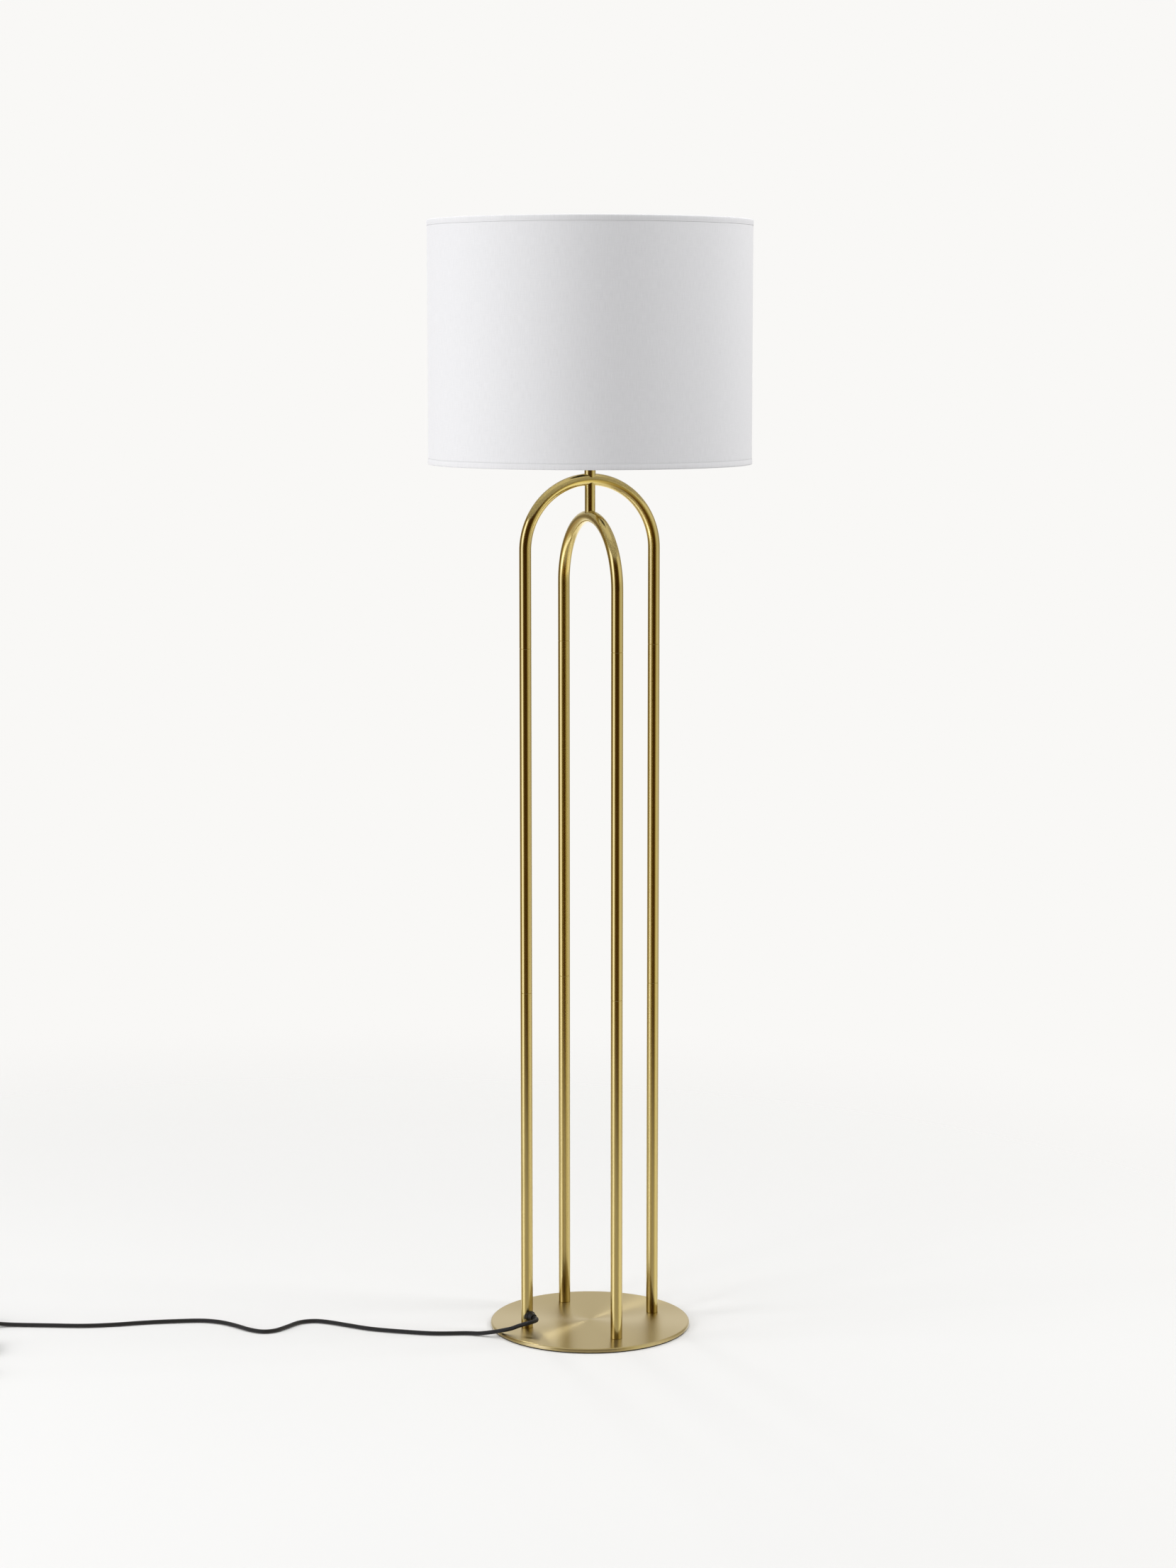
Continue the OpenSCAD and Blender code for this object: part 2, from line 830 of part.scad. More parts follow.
module coil_section(grow) {
  r0 = coil_in_r - grow;
  r1 = coil_out_r + grow;
  z0 = 0.1 - (grow > 0 ? 0.1 : 0);
  z1 = coil_top + grow;
  b = coil_bevel;
  polygon([[r0 + b, z0], [r1 - b, z0], [r1, z0 + b], [r1, z1 - b], [r1 - b, z1],
    [r0 + b, z1], [r0, z1 - b], [r0, z0 + b]]);
}

module cord_coil() {
  color("#111113")
    translate(coil_at)
      rotate_extrude()
        coil_section(0);
}

// a strap round the bundle at one place
module cord_tie() {
  color("#2a2a2c")
    translate(coil_at)
      rotate(tie_turn)
        intersection() {
          rotate_extrude()
            difference() {
              coil_section(tie_t);
              coil_section(slip_gap);
            }
          translate([0, -tie_w / 2, -cut])
            cube([2 * coil_out_r, tie_w, coil_top + 4 * cut]);
        }
}

module at_plug() {
  translate([plug_at[0], plug_at[1], plug_z])
    rotate([0, 90, plug_turn])
      children();
}

module plug_body() {
  round_r = 5;
  color("#151517")
    translate([plug_at[0], plug_at[1], 0])
      rotate(plug_turn)
        difference() {
          linear_extrude(height = plug_t)
            hull() {
              for (y = [-1, 1]) {
                translate([plug_sleeve_l + 3, y * (plug_back_w / 2 - 3)])
                  circle(r = 3, $fn = 32);
                translate([plug_sleeve_l + plug_l - round_r, y * (plug_w / 2 - round_r)])
                  circle(r = round_r, $fn = 32);
              }
            }
          for (y = [-1, 1])
            translate([plug_sleeve_l + plug_l - pin_in - slip_gap, y * pin_space / 2, plug_z])
              rotate([0, 90, 0])
                cylinder(h = pin_in + slip_gap + cut, r = pin_root_r + press_gap);
        }
}

module plug_pins() {
  color("#d5d7da")
    at_plug()
      for (y = [-1, 1])
        translate([0, y * pin_space / 2, plug_sleeve_l + plug_l - pin_in])
          rotate_extrude()
            polygon(concat([[0, 0], [pin_root_r, 0], [pin_root_r, pin_in], [pin_r, pin_in]],
              arc([pin_r - pin_nose, pin_in + pin_len - pin_nose], pin_nose, 0, 90, 4),
              [[0, pin_in + pin_len]]));
}

module plug_sleeve() {
  root_z = plug_sleeve_l - sliver;
  color("#151517")
    at_plug()
      rotate_extrude()
        polygon([[core_way_r, 0], [sleeve_tip_r, 0], [5.5, root_z], [core_way_r, root_z]]);
}

module at_switch(z = 0) {
  translate([switch_at[0], switch_at[1], z])
    rotate(switch_turn)
      children();
}

module entry_cut() {
  translate([-switch_d, 0, entry_z])
    rotate([0, 90, 0])
      cylinder(h = 2 * switch_d, r = entry_r);
}

module switch_base() {
  r = switch_r;
  color("#18181a")
    at_switch()
      difference() {
        union() {
          rotate_extrude()
            polygon([[0, 0], [r - 1.5, 0], [r, 1.5], [r, switch_base_h],
              [r - switch_wall, switch_base_h], [r - switch_wall, switch_wall], [0, switch_wall]]);
          for (y = [-1, 1])
            translate([0, y * switch_screw_at, 0])
              cylinder(h = switch_base_h, r = boss_r);
        }
        entry_cut();
        for (y = [-1, 1])
          translate([0, y * switch_screw_at, 0]) {
            translate([0, 0, -cut])
              cylinder(h = switch_h, r = switch_screw_r + slip_gap);
            translate([0, 0, -sliver])
              cylinder(h = switch_head_h, r1 = switch_head_r + slip_gap,
                r2 = switch_screw_r + slip_gap);
          }
      }
}

module switch_cover() {
  r = switch_r;
  bend = 8;
  color("#18181a")
    at_switch()
      difference() {
        union() {
          rotate_extrude()
            polygon(concat([[r - switch_wall, switch_base_h], [r, switch_base_h]],
              arc([r - bend, switch_h - bend], bend, 0, 90, 8),
              [[button_r + button_gap, switch_h], [button_r + button_gap, switch_h - switch_wall]],
              arc([r - bend, switch_h - bend], bend - switch_wall, 90, 0, 8)));
          for (y = [-1, 1])
            translate([0, y * switch_screw_at, switch_base_h])
              cylinder(h = switch_h - switch_base_h - switch_wall, r = boss_r);
        }
        entry_cut();
        for (y = [-1, 1])
          translate([0, y * switch_screw_at, 0])
            cylinder(h = switch_base_h + switch_thread + 1, r = switch_screw_r + thread_gap);
      }
}

module switch_button() {
  crown = 1.2;
  hollow_r = spring_r + spring_wire + 0.6;
  flange_top = switch_h - switch_wall - slip_gap - button_z;
  flange_low = flange_top - button_flange_t;
  color("#2b2b2e")
    at_switch(button_z)
      rotate_extrude()
        polygon([[0, button_hollow], [hollow_r, button_hollow], [hollow_r, 0], [button_r, 0],
          [button_r, flange_low], [button_flange_r, flange_low], [button_flange_r, flange_top],
          [button_r, flange_top], [button_r, button_h - crown], [button_r - crown, button_h],
          [0, button_h]]);
}

module switch_spring() {
  low = spring_z + spring_gap + spring_wire / 2;
  rise = button_z + button_hollow - spring_gap - spring_wire / 2 - low;
  steps = 14 * spring_turns;
  line = [for (i = [0:steps]) let(a = 360 * spring_turns * i / steps)
    [spring_r * cos(a), spring_r * sin(a), low + rise * i / steps]];
  color("#c9ccd0")
    at_switch()
      swept(line, spring_wire / 2, 6);
}

module switch_block() {
  color("#e9e4d8")
    at_switch(switch_wall)
      translate([-9, -8, 0])
        cube([18, 16, block_h]);
}

module switch_contacts() {
  color("#c9a24a")
    at_switch(switch_wall)
      for (side = [-1, 1])
        translate([side * 11 - 1, -3, 0])
          cube([2, 6, 3.5]);
}

module switch_screws() {
  color("#8f9296")
    at_switch()
      for (y = [-1, 1])
        translate([0, y * switch_screw_at, 0])
          difference() {
            union() {
              cylinder(h = switch_head_h, r1 = switch_head_r, r2 = switch_screw_r);
              cylinder(h = switch_base_h + switch_thread, r = switch_screw_r);
            }
            translate([0, 0, -cut])
              cylinder(h = cut + 1.1, r = 1.1, $fn = 6);
          }
}

// tapered rubber sleeves where the two leads enter the switch
module switch_sleeves() {
  neck_r = entry_r - slip_gap;
  flange_r = entry_r + 0.8;
  inner = switch_r - switch_wall - 3.2;
  color("#141416")
    at_switch(entry_z)
      for (side = [0, 180])
        rotate([0, 90, side])
          rotate_extrude()
            polygon([[core_way_r, inner], [neck_r, inner], [neck_r, switch_r + 0.4],
              [flange_r, switch_r + 0.4], [flange_r, switch_r + 1.6],
              [sleeve_tip_r, sleeve_reach], [core_way_r, sleeve_reach]]);
}

base_plate();
base_pad();
base_screws();
leg_plugs();
lower_tube_left();
lower_tube_front();
lower_tube_right();
lower_tube_back();
middle_tube_left();
middle_tube_front();
middle_tube_right();
middle_tube_back();
joint_sockets();
joint_studs();
outer_arch();
inner_arch();
crown_post();
neck_tube();
neck_bush();
neck_nipple();
neck_nut();
holder_cap();
holder_skirt();
holder_core();
holder_shell();
holder_contact();
holder_screws();
lower_shade_nut();
upper_shade_nut();
bulb_globe();
bulb_cap();
bulb_insulator();
bulb_tip();
shade_cloth();
shade_lining();
top_ring();
bottom_ring();
shade_fitter();
top_hem();
bottom_hem();
cord_grip();
core_live();
core_neutral();
lamp_lead();
switch_lead();
cord_coil();
cord_tie();
plug_lead();
plug_body();
plug_pins();
plug_sleeve();
switch_base();
switch_cover();
switch_button();
switch_spring();
switch_block();
switch_contacts();
switch_screws();
switch_sleeves();
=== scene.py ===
import math
import random

import bmesh
import bpy
from mathutils import Matrix, Vector


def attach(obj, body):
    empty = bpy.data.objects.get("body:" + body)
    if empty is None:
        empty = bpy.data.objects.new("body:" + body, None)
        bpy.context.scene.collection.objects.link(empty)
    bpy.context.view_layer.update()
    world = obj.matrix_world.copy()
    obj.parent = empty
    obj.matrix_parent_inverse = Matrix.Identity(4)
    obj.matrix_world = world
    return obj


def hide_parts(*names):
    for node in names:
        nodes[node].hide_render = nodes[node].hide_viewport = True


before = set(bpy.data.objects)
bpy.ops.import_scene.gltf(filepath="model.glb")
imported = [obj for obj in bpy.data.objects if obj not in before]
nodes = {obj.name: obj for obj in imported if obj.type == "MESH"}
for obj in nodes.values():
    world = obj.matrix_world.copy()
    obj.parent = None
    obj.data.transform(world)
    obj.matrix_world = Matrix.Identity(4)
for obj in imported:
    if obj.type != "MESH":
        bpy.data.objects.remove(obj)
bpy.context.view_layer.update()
mm = 0.001
rng = random.Random(7)


def hexToLinear(text):
    parts = [int(text[i:i + 2], 16) / 255 for i in (1, 3, 5)]
    return tuple(c / 12.92 if c <= 0.04045 else ((c + 0.055) / 1.055) ** 2.4 for c in parts) + (1.0,)


def addNode(tree, kind, values=None, links=None, **settings):
    node = tree.nodes.new(kind)
    for name, value in settings.items():
        setattr(node, name, value)
    for socket, value in (values or {}).items():
        node.inputs[socket].default_value = value
    for socket, source in (links or {}).items():
        tree.links.new(source, node.inputs[socket])
    return node


def startMaterial(name, values):
    material = bpy.data.materials.new(name)
    material.use_nodes = True
    tree = material.node_tree
    tree.nodes.clear()
    shader = addNode(tree, "ShaderNodeBsdfPrincipled", values)
    addNode(tree, "ShaderNodeOutputMaterial", links={"Surface": shader.outputs["BSDF"]})
    return material, tree, shader


def addRamp(tree, source, stops):
    ramp = addNode(tree, "ShaderNodeValToRGB", links={"Fac": source})
    band = ramp.color_ramp
    while len(band.elements) < len(stops):
        band.elements.new(0.5)
    for element, (place, color) in zip(band.elements, stops):
        element.position = place
        element.color = color
    return ramp.outputs["Color"]


def paint(material, *names):
    for name in names:
        data = nodes[name].data
        if not data.materials:
            data.materials.append(material)
        for i in range(len(data.materials)):
            data.materials[i] = material


def newPiece(name, mesh, material, body):
    piece = bpy.data.objects.new(name, mesh)
    bpy.context.scene.collection.objects.link(piece)
    if material:
        mesh.materials.append(material)
    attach(piece, body)
    return piece


def meshFrom(name, points, faces, faceUv=None):
    mesh = bpy.data.meshes.new(name)
    mesh.from_pydata([tuple(p) for p in points], [], faces)
    if faceUv:
        layer = mesh.uv_layers.new(name="UVMap")
        for polygon, corners in zip(mesh.polygons, faceUv):
            for loop, uv in zip(polygon.loop_indices, corners):
                layer.data[loop].uv = uv
    for polygon in mesh.polygons:
        polygon.use_smooth = True
    mesh.update()
    return mesh


cameraSettings = {
    "azimuth": -22.5,      # degrees round the lamp from its front
    "pitch": 7.7,          # degrees downward
    "distance": 4.447,
    "aimHeight": 0.7504,
    "aimRight": -0.0027,
    "lens": 75.776,
}


def buildCamera(settings):
    a, e = math.radians(settings["azimuth"]), math.radians(settings["pitch"])
    back = Vector((math.sin(a) * math.cos(e), -math.cos(a) * math.cos(e), math.sin(e)))
    right = Vector((math.cos(a), math.sin(a), 0))
    up = back.cross(right)
    data = bpy.data.cameras.new("camera")
    data.sensor_width = 36
    data.lens = settings["lens"]
    data.clip_end = 60
    camera = bpy.data.objects.new("camera", data)
    bpy.context.scene.collection.objects.link(camera)
    place = Vector((0, 0, settings["aimHeight"])) + right * settings["aimRight"] + back * settings["distance"]
    turn = Matrix((right, up, back)).transposed()
    camera.matrix_world = Matrix.Translation(place) @ turn.to_4x4()
    bpy.context.scene.camera = camera


buildCamera(cameraSettings)
print("camera made")


cordShape = {
    "diameter": 5.6,       # millimetres, as every length in this part
    "sides": 18,
    "step": 3.0,           # between rings
    "floorZ": 2.9,         # height of the middle of a cord that lies on the floor
    "braidPitch": 9.0,     # length of one turn of a braid strand
    "strands": 8,          # fewer and coarser than in a real braid, so that they show
}

cordPlaces = {
    "legX": -93,           # middle of the left leg
    "exitHeight": 23.5,
    "exitTurn": -78,       # degrees, which way the cord leaves the leg
    "gripReach": 17,       # from the leg's middle to the end of the grip
    "inGrip": 1,
    "pastGrip": 3,
    "switch": (-797, 313, 5),
    "switchTurn": 157,
    "switchReach": 36,     # from the switch's middle to the end of a sleeve
    "plug": (-861, 136, 6.85),
    "plugTurn": -62,
    "straight": 6,         # how far a lead runs straight before its sleeve
}


def heading(degrees):
    a = math.radians(degrees)
    return Vector((math.cos(a), math.sin(a), 0))


exitDir = heading(cordPlaces["exitTurn"])
switchDir = heading(cordPlaces["switchTurn"])
plugDir = heading(cordPlaces["plugTurn"])
switchAt, plugAt = Vector(cordPlaces["switch"]), Vector(cordPlaces["plug"])
switchReach, straight = cordPlaces["switchReach"], cordPlaces["straight"]
cordExit = (Vector((cordPlaces["legX"], 0, 0)) + exitDir * cordPlaces["gripReach"]
            + Vector((0, 0, cordPlaces["exitHeight"])))
low = cordShape["floorZ"]

lampRoute = [cordExit - exitDir * cordPlaces["inGrip"], cordExit + exitDir * cordPlaces["pastGrip"]]
lampRoute += [Vector(p) for p in (
    (-89, -25, 24), (-92, -31, 24), (-98, -34.5, 24), (-105.5, -34, 22.5), (-115, -27.5, 18.5),
    (-124.5, -20.5, 13.5), (-134, -13.5, 10.2), (-144, -7, 7.4), (-160, 5, 3.8),
    (-176, 16, low), (-217, 32, low), (-255, 57, low), (-289, 84, low), (-313, 112, low),
    (-333, 136, low), (-350, 149, low), (-371, 150, low), (-395, 136, low), (-413, 127, low),
    (-430, 129, low), (-444, 145, low), (-456, 170, low), (-471, 193, low), (-493, 210, low),
    (-530, 222, low), (-568, 231, low), (-611, 238, low), (-650, 249, low), (-695, 270, low),
    (-738, 290, 3.2))]
lampRoute += [switchAt - switchDir * d for d in (switchReach + straight, switchReach)]

coilShape = {
    "centre": (-824, 200),
    "start": 180,          # degrees, where the lead joins the outer turn
    "end": 2340,
    "middle": 31,          # radius of the middle turn
    # each step: from and to which angle, then cords out from the middle, or up, before and after it
    "outward": [(560, 620, 1, 0), (920, 980, 0, -1), (1500, 1560, -1, 0), (1860, 1920, 0, 1)],
    "upward": [(1210, 1270, 0, 1), (2160, 2220, 1, 2)],
    "every": 12,           # degrees between points
}


def stepped(angle, steps, first):
    value = first
    for a, b, before, after in steps:
        t = min(1, max(0, (angle - a) / (b - a)))
        value = value + (after - before) * t * t * (3 - 2 * t)
    return value


def coilPoint(angle):
    r = coilShape["middle"] + cordShape["diameter"] * stepped(angle, coilShape["outward"], 1)
    z = low + cordShape["diameter"] * stepped(angle, coilShape["upward"], 0)
    a = math.radians(angle)
    x, y = coilShape["centre"]
    return Vector((x + r * math.cos(a), y + r * math.sin(a), z))


mainsRoute = [switchAt + switchDir * d for d in (switchReach, switchReach + straight)]
mainsRoute += [Vector(p) for p in (
    (-842, 331.2, 4.2), (-852, 332, 3.3), (-863, 325, low), (-869, 312, low), (-870, 296, low),
    (-867, 274, low), (-863, 250, low), (-861, 228, low), (-860.6, 212, low))]
mainsRoute += [coilPoint(a) for a in range(coilShape["start"], coilShape["end"] + 1, coilShape["every"])]
mainsRoute += [Vector(p) for p in (
    (-861, 191, 13.2), (-862.5, 182, 11.5), (-865, 170, 8), (-866, 158, 4.9), (-865.5, 149, 5.3))]
mainsRoute += [plugAt - plugDir * d for d in (straight, 0)]


def smoothLine(route, step):
    line = []
    for i in range(len(route) - 1):
        b, c = route[i], route[i + 1]
        a = route[i - 1] if i else 2 * b - c
        d = route[i + 2] if i + 2 < len(route) else 2 * c - b
        count = max(1, round((c - b).length / step))
        for k in range(count):
            t = k / count
            line.append(0.5 * (2 * b + (c - a) * t + (2 * a - 5 * b + 4 * c - d) * t * t
                               + (3 * b - a - 3 * c + d) * t ** 3))
    line.append(route[-1].copy())
    return line


def tubeMesh(name, line, radius, sides):
    last = len(line) - 1
    headings = [(line[min(i + 1, last)] - line[max(i - 1, 0)]).normalized() for i in range(len(line))]
    side = headings[0].cross(Vector((0, 0, 1))).normalized()
    points, along = [], [0.0]
    for i, p in enumerate(line):
        side = (side - headings[i] * side.dot(headings[i])).normalized()
        other = headings[i].cross(side)
        if i:
            along.append(along[-1] + (p - line[i - 1]).length)
        for j in range(sides):
            a = 2 * math.pi * j / sides
            points.append((p + (side * math.cos(a) + other * math.sin(a)) * radius) * mm)
    faces, uvs = [], []
    for i in range(last):
        for j in range(sides):
            k = (j + 1) % sides
            faces.append((i * sides + j, i * sides + k, (i + 1) * sides + k, (i + 1) * sides + j))
            uvs.append(((j / sides, along[i]), ((j + 1) / sides, along[i]),
                        ((j + 1) / sides, along[i + 1]), (j / sides, along[i + 1])))
    for ring, turn in ((0, -1), (last, 1)):  # flat ends
        faces.append(tuple(ring * sides + j for j in range(sides))[::turn])
        uvs.append([(j / sides, along[ring]) for j in range(sides)][::turn])
    return meshFrom(name, points, faces, uvs), along[-1]


def cordBraid():
    # black polyester braid over PVC: matt, with small crossing strands; their raised tops are painted lighter
    # as painted highlight and the grooves between them darker as painted shade
    material, tree, shader = startMaterial("blackBraidedPolyester", {
        "Roughness": 0.5, "IOR": 1.5, "Sheen Weight": 0.08, "Sheen Roughness": 0.4})
    uv = addNode(tree, "ShaderNodeTexCoord").outputs["UV"]
    parts = addNode(tree, "ShaderNodeSeparateXYZ", links={"Vector": uv})
    turns = []
    for hand in (1, -1):
        lean = addNode(tree, "ShaderNodeMath", {1: hand / cordShape["braidPitch"]},
                       {0: parts.outputs["Y"]}, operation="MULTIPLY")
        place = addNode(tree, "ShaderNodeMath", links={0: parts.outputs["X"], 1: lean.outputs[0]},
                        operation="ADD")
        phase = addNode(tree, "ShaderNodeMath", {1: cordShape["strands"] * 2 * math.pi},
                        {0: place.outputs[0]}, operation="MULTIPLY")
        wave = addNode(tree, "ShaderNodeMath", links={0: phase.outputs[0]}, operation="SINE")
        turns.append(wave.outputs[0])
    cross = addNode(tree, "ShaderNodeMath", links={0: turns[0], 1: turns[1]}, operation="MULTIPLY")
    height = addNode(tree, "ShaderNodeMapRange", {"From Min": -1, "From Max": 1}, {"Value": cross.outputs[0]})
    # painted highlight and painted shade: the colour follows the braid's relief, lighter on the crossings and
    # darker in the grooves
    color = addRamp(tree, height.outputs["Result"], [
        (0, hexToLinear("#030303")), (1, hexToLinear("#101011"))])
    bump = addNode(tree, "ShaderNodeBump", {"Strength": 0.55, "Distance": 0.3 * mm},
                   {"Height": height.outputs["Result"]})
    tree.links.new(color, shader.inputs["Base Color"])
    tree.links.new(bump.outputs["Normal"], shader.inputs["Normal"])
    return material


braid = cordBraid()
lampLine = smoothLine(lampRoute, cordShape["step"])
mainsLine = smoothLine(mainsRoute, cordShape["step"])
lampTube, lampLength = tubeMesh("lampCord", lampLine, cordShape["diameter"] / 2, cordShape["sides"])
mainsTube, mainsLength = tubeMesh("mainsCord", mainsLine, cordShape["diameter"] / 2, cordShape["sides"])
lampCord = newPiece("lampCord", lampTube, braid, "frame")
mainsCord = newPiece("mainsCord", mainsTube, braid, "frame")
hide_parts("lamp_lead")
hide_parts("switch_lead", "cord_coil", "plug_lead")
print(f"cords made: {lampLength:.0f} mm and {mainsLength:.0f} mm")


# the strap that holds the coil: a band pulled tight round the cords at one place
tieShape = {
    "turn": 35,            # degrees round the coil
    "width": 12,
    "thick": 0.8,
    "gap": 0.15,           # between the strap and the cords
    "floorGap": 0.02,
    "around": 72,          # points round its section
}


def hull(points):
    points = sorted(points)
    ends = []
    for row in (points, points[::-1]):
        chain = []
        for p in row:
            while len(chain) > 1 and ((chain[-1][0] - chain[-2][0]) * (p[1] - chain[-2][1])
                                      - (chain[-1][1] - chain[-2][1]) * (p[0] - chain[-2][0])) <= 0:
                chain.pop()
            chain.append(p)
        ends += chain[:-1]
    return ends


def buildTie(shape):
    count = shape["around"]
    middles = []
    for turn in range(1, 7):
        p = coilPoint(shape["turn"] + 360 * turn)
        x, y = coilShape["centre"]
        middles.append((math.hypot(p.x - x, p.y - y), p.z))
    loops = []
    inner = (shape["gap"], shape["floorGap"] + shape["thick"])
    outer = (shape["gap"] + shape["thick"], shape["floorGap"])
    for grow, lowest in (inner, outer):
        reach = cordShape["diameter"] / 2 + grow
        spokes = [math.radians(360 / count * i) for i in range(count)]
        cloud = [(r + reach * math.cos(a), z + reach * math.sin(a)) for r, z in middles for a in spokes]
        loops.append([(r, max(z, lowest)) for r, z in hull(cloud)])
    # the two loops are resampled to the same number of points by direction from the middle
    mid = (sum(r for r, _ in middles) / len(middles), sum(z for _, z in middles) / len(middles))
    sampled = []
    for loop in loops:
        rim = []
        for i in range(count):
            a = 2 * math.pi * i / count
            d = (math.cos(a), math.sin(a))
            best = 0
            for p, q in zip(loop, loop[1:] + loop[:1]):
                ex, ez = q[0] - p[0], q[1] - p[1]
                cross = d[0] * ez - d[1] * ex
                if abs(cross) < 1e-9:
                    continue
                px, pz = p[0] - mid[0], p[1] - mid[1]
                t = (px * ez - pz * ex) / cross
                s = (px * d[1] - pz * d[0]) / cross
                if t > 0 and -1e-6 <= s <= 1 + 1e-6:
                    best = max(best, t)
            rim.append((mid[0] + d[0] * best, mid[1] + d[1] * best))
        sampled.append(rim)
    out = heading(shape["turn"])
    along = Vector((-out.y, out.x, 0))
    centre = Vector((*coilShape["centre"], 0))
    points = [(centre + out * r + along * w + Vector((0, 0, z))) * mm
              for rim in sampled for w in (-shape["width"] / 2, shape["width"] / 2) for r, z in rim]
    faces = []
    rings = [0, count, 3 * count, 2 * count]  # inner low, inner high, outer high, outer low
    for a, b in zip(rings, rings[1:] + rings[:1]):
        for i in range(count):
            k = (i + 1) % count
            faces.append((a + i, a + k, b + k, b + i))
    mesh = meshFrom("cordTie", points, faces)
    work = bmesh.new()
    work.from_mesh(mesh)
    bmesh.ops.recalc_face_normals(work, faces=work.faces)
    work.to_mesh(mesh)
    work.free()
    for polygon in mesh.polygons:
        polygon.use_smooth = False
    return mesh


def hookStrap():
    # woven nylon strap: a fuzzy matt grey-black face
    material, tree, shader = startMaterial("wovenNylonStrap", {
        "Roughness": 0.85, "IOR": 1.5, "Sheen Weight": 0.4, "Sheen Roughness": 0.5})
    place = addNode(tree, "ShaderNodeTexCoord").outputs["Object"]
    fuzz = addNode(tree, "ShaderNodeTexNoise", {"Scale": 900, "Detail": 3}, {"Vector": place})
    color = addRamp(tree, fuzz.outputs["Fac"], [
        (0.35, hexToLinear("#121213")), (0.7, hexToLinear("#333336"))])
    bump = addNode(tree, "ShaderNodeBump", {"Strength": 0.6, "Distance": 0.4 * mm},
                   {"Height": fuzz.outputs["Fac"]})
    tree.links.new(color, shader.inputs["Base Color"])
    tree.links.new(bump.outputs["Normal"], shader.inputs["Normal"])
    return material


cordTie = newPiece("cordTie", buildTie(tieShape), hookStrap(), "frame")
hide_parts("cord_tie")

brassLook = {
    "tubeColor": "#ccb97a",
    "tubeDark": "#c5b274",
    "plateColor": "#bcab7b",
    "lineSpacing": 0.7,    # millimetres; real hairlines are too fine to show, so these are coarser
    "tubeRough": (0.12, 0.22),
    "noBend": 9,           # metres, above the lamp: a straight tube has no bend
    "outerBend": 1.0665,   # metres, where the higher arch begins to bend
    "innerBend": 1.0175,
}


def brushedBrassTube(name, axis, bendStart):
    # brass tube, brushed lengthwise and lacquered: olive gold with fine streaks along the tube
    material, tree, shader = startMaterial(name, {
        "Metallic": 1.0, "Coat Weight": 0.15, "Coat Roughness": 0.08})
    place = addNode(tree, "ShaderNodeTexCoord").outputs["Object"]
    parts = addNode(tree, "ShaderNodeSeparateXYZ", links={"Vector": place})
    over = addNode(tree, "ShaderNodeMath", {1: bendStart}, {0: parts.outputs["Z"]}, operation="SUBTRACT")
    over = addNode(tree, "ShaderNodeMath", {1: 0.0}, {0: over.outputs[0]}, operation="MAXIMUM")
    over = addNode(tree, "ShaderNodeCombineXYZ", links={"X": parts.outputs[axis], "Y": over.outputs[0]})
    reach = addNode(tree, "ShaderNodeVectorMath", links={0: over.outputs[0]}, operation="LENGTH")
    drift = addNode(tree, "ShaderNodeMath", {1: 0.02}, {0: parts.outputs["Z"]}, operation="MULTIPLY")
    across = "Y" if axis == "X" else "X"
    grain = addNode(tree, "ShaderNodeCombineXYZ", links={
        "X": reach.outputs["Value"], "Y": parts.outputs[across], "Z": drift.outputs[0]})
    spacing = brassLook["lineSpacing"] * mm
    lines = addNode(tree, "ShaderNodeTexNoise", {"Scale": 1 / spacing, "Detail": 2},
                    {"Vector": grain.outputs[0]})
    stain = addNode(tree, "ShaderNodeTexNoise", {"Scale": 22, "Detail": 3}, {"Vector": place})
    uneven = addNode(tree, "ShaderNodeMix", {"Factor": 0.35}, data_type="FLOAT")
    tree.links.new(stain.outputs["Fac"], uneven.inputs["A"])
    tree.links.new(lines.outputs["Fac"], uneven.inputs["B"])
    least, most = brassLook["tubeRough"]
    rough = addNode(tree, "ShaderNodeMapRange", {"To Min": least, "To Max": most},
                    {"Value": uneven.outputs["Result"]})
    color = addRamp(tree, lines.outputs["Fac"], [
        (0.3, hexToLinear(brassLook["tubeDark"])), (0.7, hexToLinear(brassLook["tubeColor"]))])
    tree.links.new(color, shader.inputs["Base Color"])
    tree.links.new(rough.outputs["Result"], shader.inputs["Roughness"])
    return material


def spunBrassPlate():
    # brass plate, brushed in circles on a lathe: a fan of light runs through the centre
    material, tree, shader = startMaterial("spunBrushedBrass", {
        "Base Color": hexToLinear(brassLook["plateColor"]), "Metallic": 1.0, "Roughness": 0.3,
        "Anisotropic": 0.92, "Anisotropic Rotation": 0.25})
    place = addNode(tree, "ShaderNodeTexCoord").outputs["Object"]
    flat = addNode(tree, "ShaderNodeVectorMath", {1: (1, 1, 0)}, {0: place}, operation="MULTIPLY")
    reach = addNode(tree, "ShaderNodeVectorMath", links={0: flat.outputs[0]}, operation="LENGTH")
    drift = addNode(tree, "ShaderNodeVectorMath", {"Scale": 0.03}, {0: flat.outputs[0]}, operation="SCALE")
    ring = addNode(tree, "ShaderNodeCombineXYZ", links={"Z": reach.outputs["Value"]})
    grain = addNode(tree, "ShaderNodeVectorMath", links={0: drift.outputs[0], 1: ring.outputs[0]},
                    operation="ADD")
    spacing = brassLook["lineSpacing"] * mm
    lines = addNode(tree, "ShaderNodeTexNoise", {"Scale": 1 / spacing, "Detail": 3},
                    {"Vector": grain.outputs[0]})
    bump = addNode(tree, "ShaderNodeBump", {"Strength": 0.1, "Distance": 0.02 * mm},
                   {"Height": lines.outputs["Fac"]})
    tangent = addNode(tree, "ShaderNodeTangent", direction_type="RADIAL", axis="Z")
    tree.links.new(bump.outputs["Normal"], shader.inputs["Normal"])
    tree.links.new(tangent.outputs[0], shader.inputs["Tangent"])
    return material


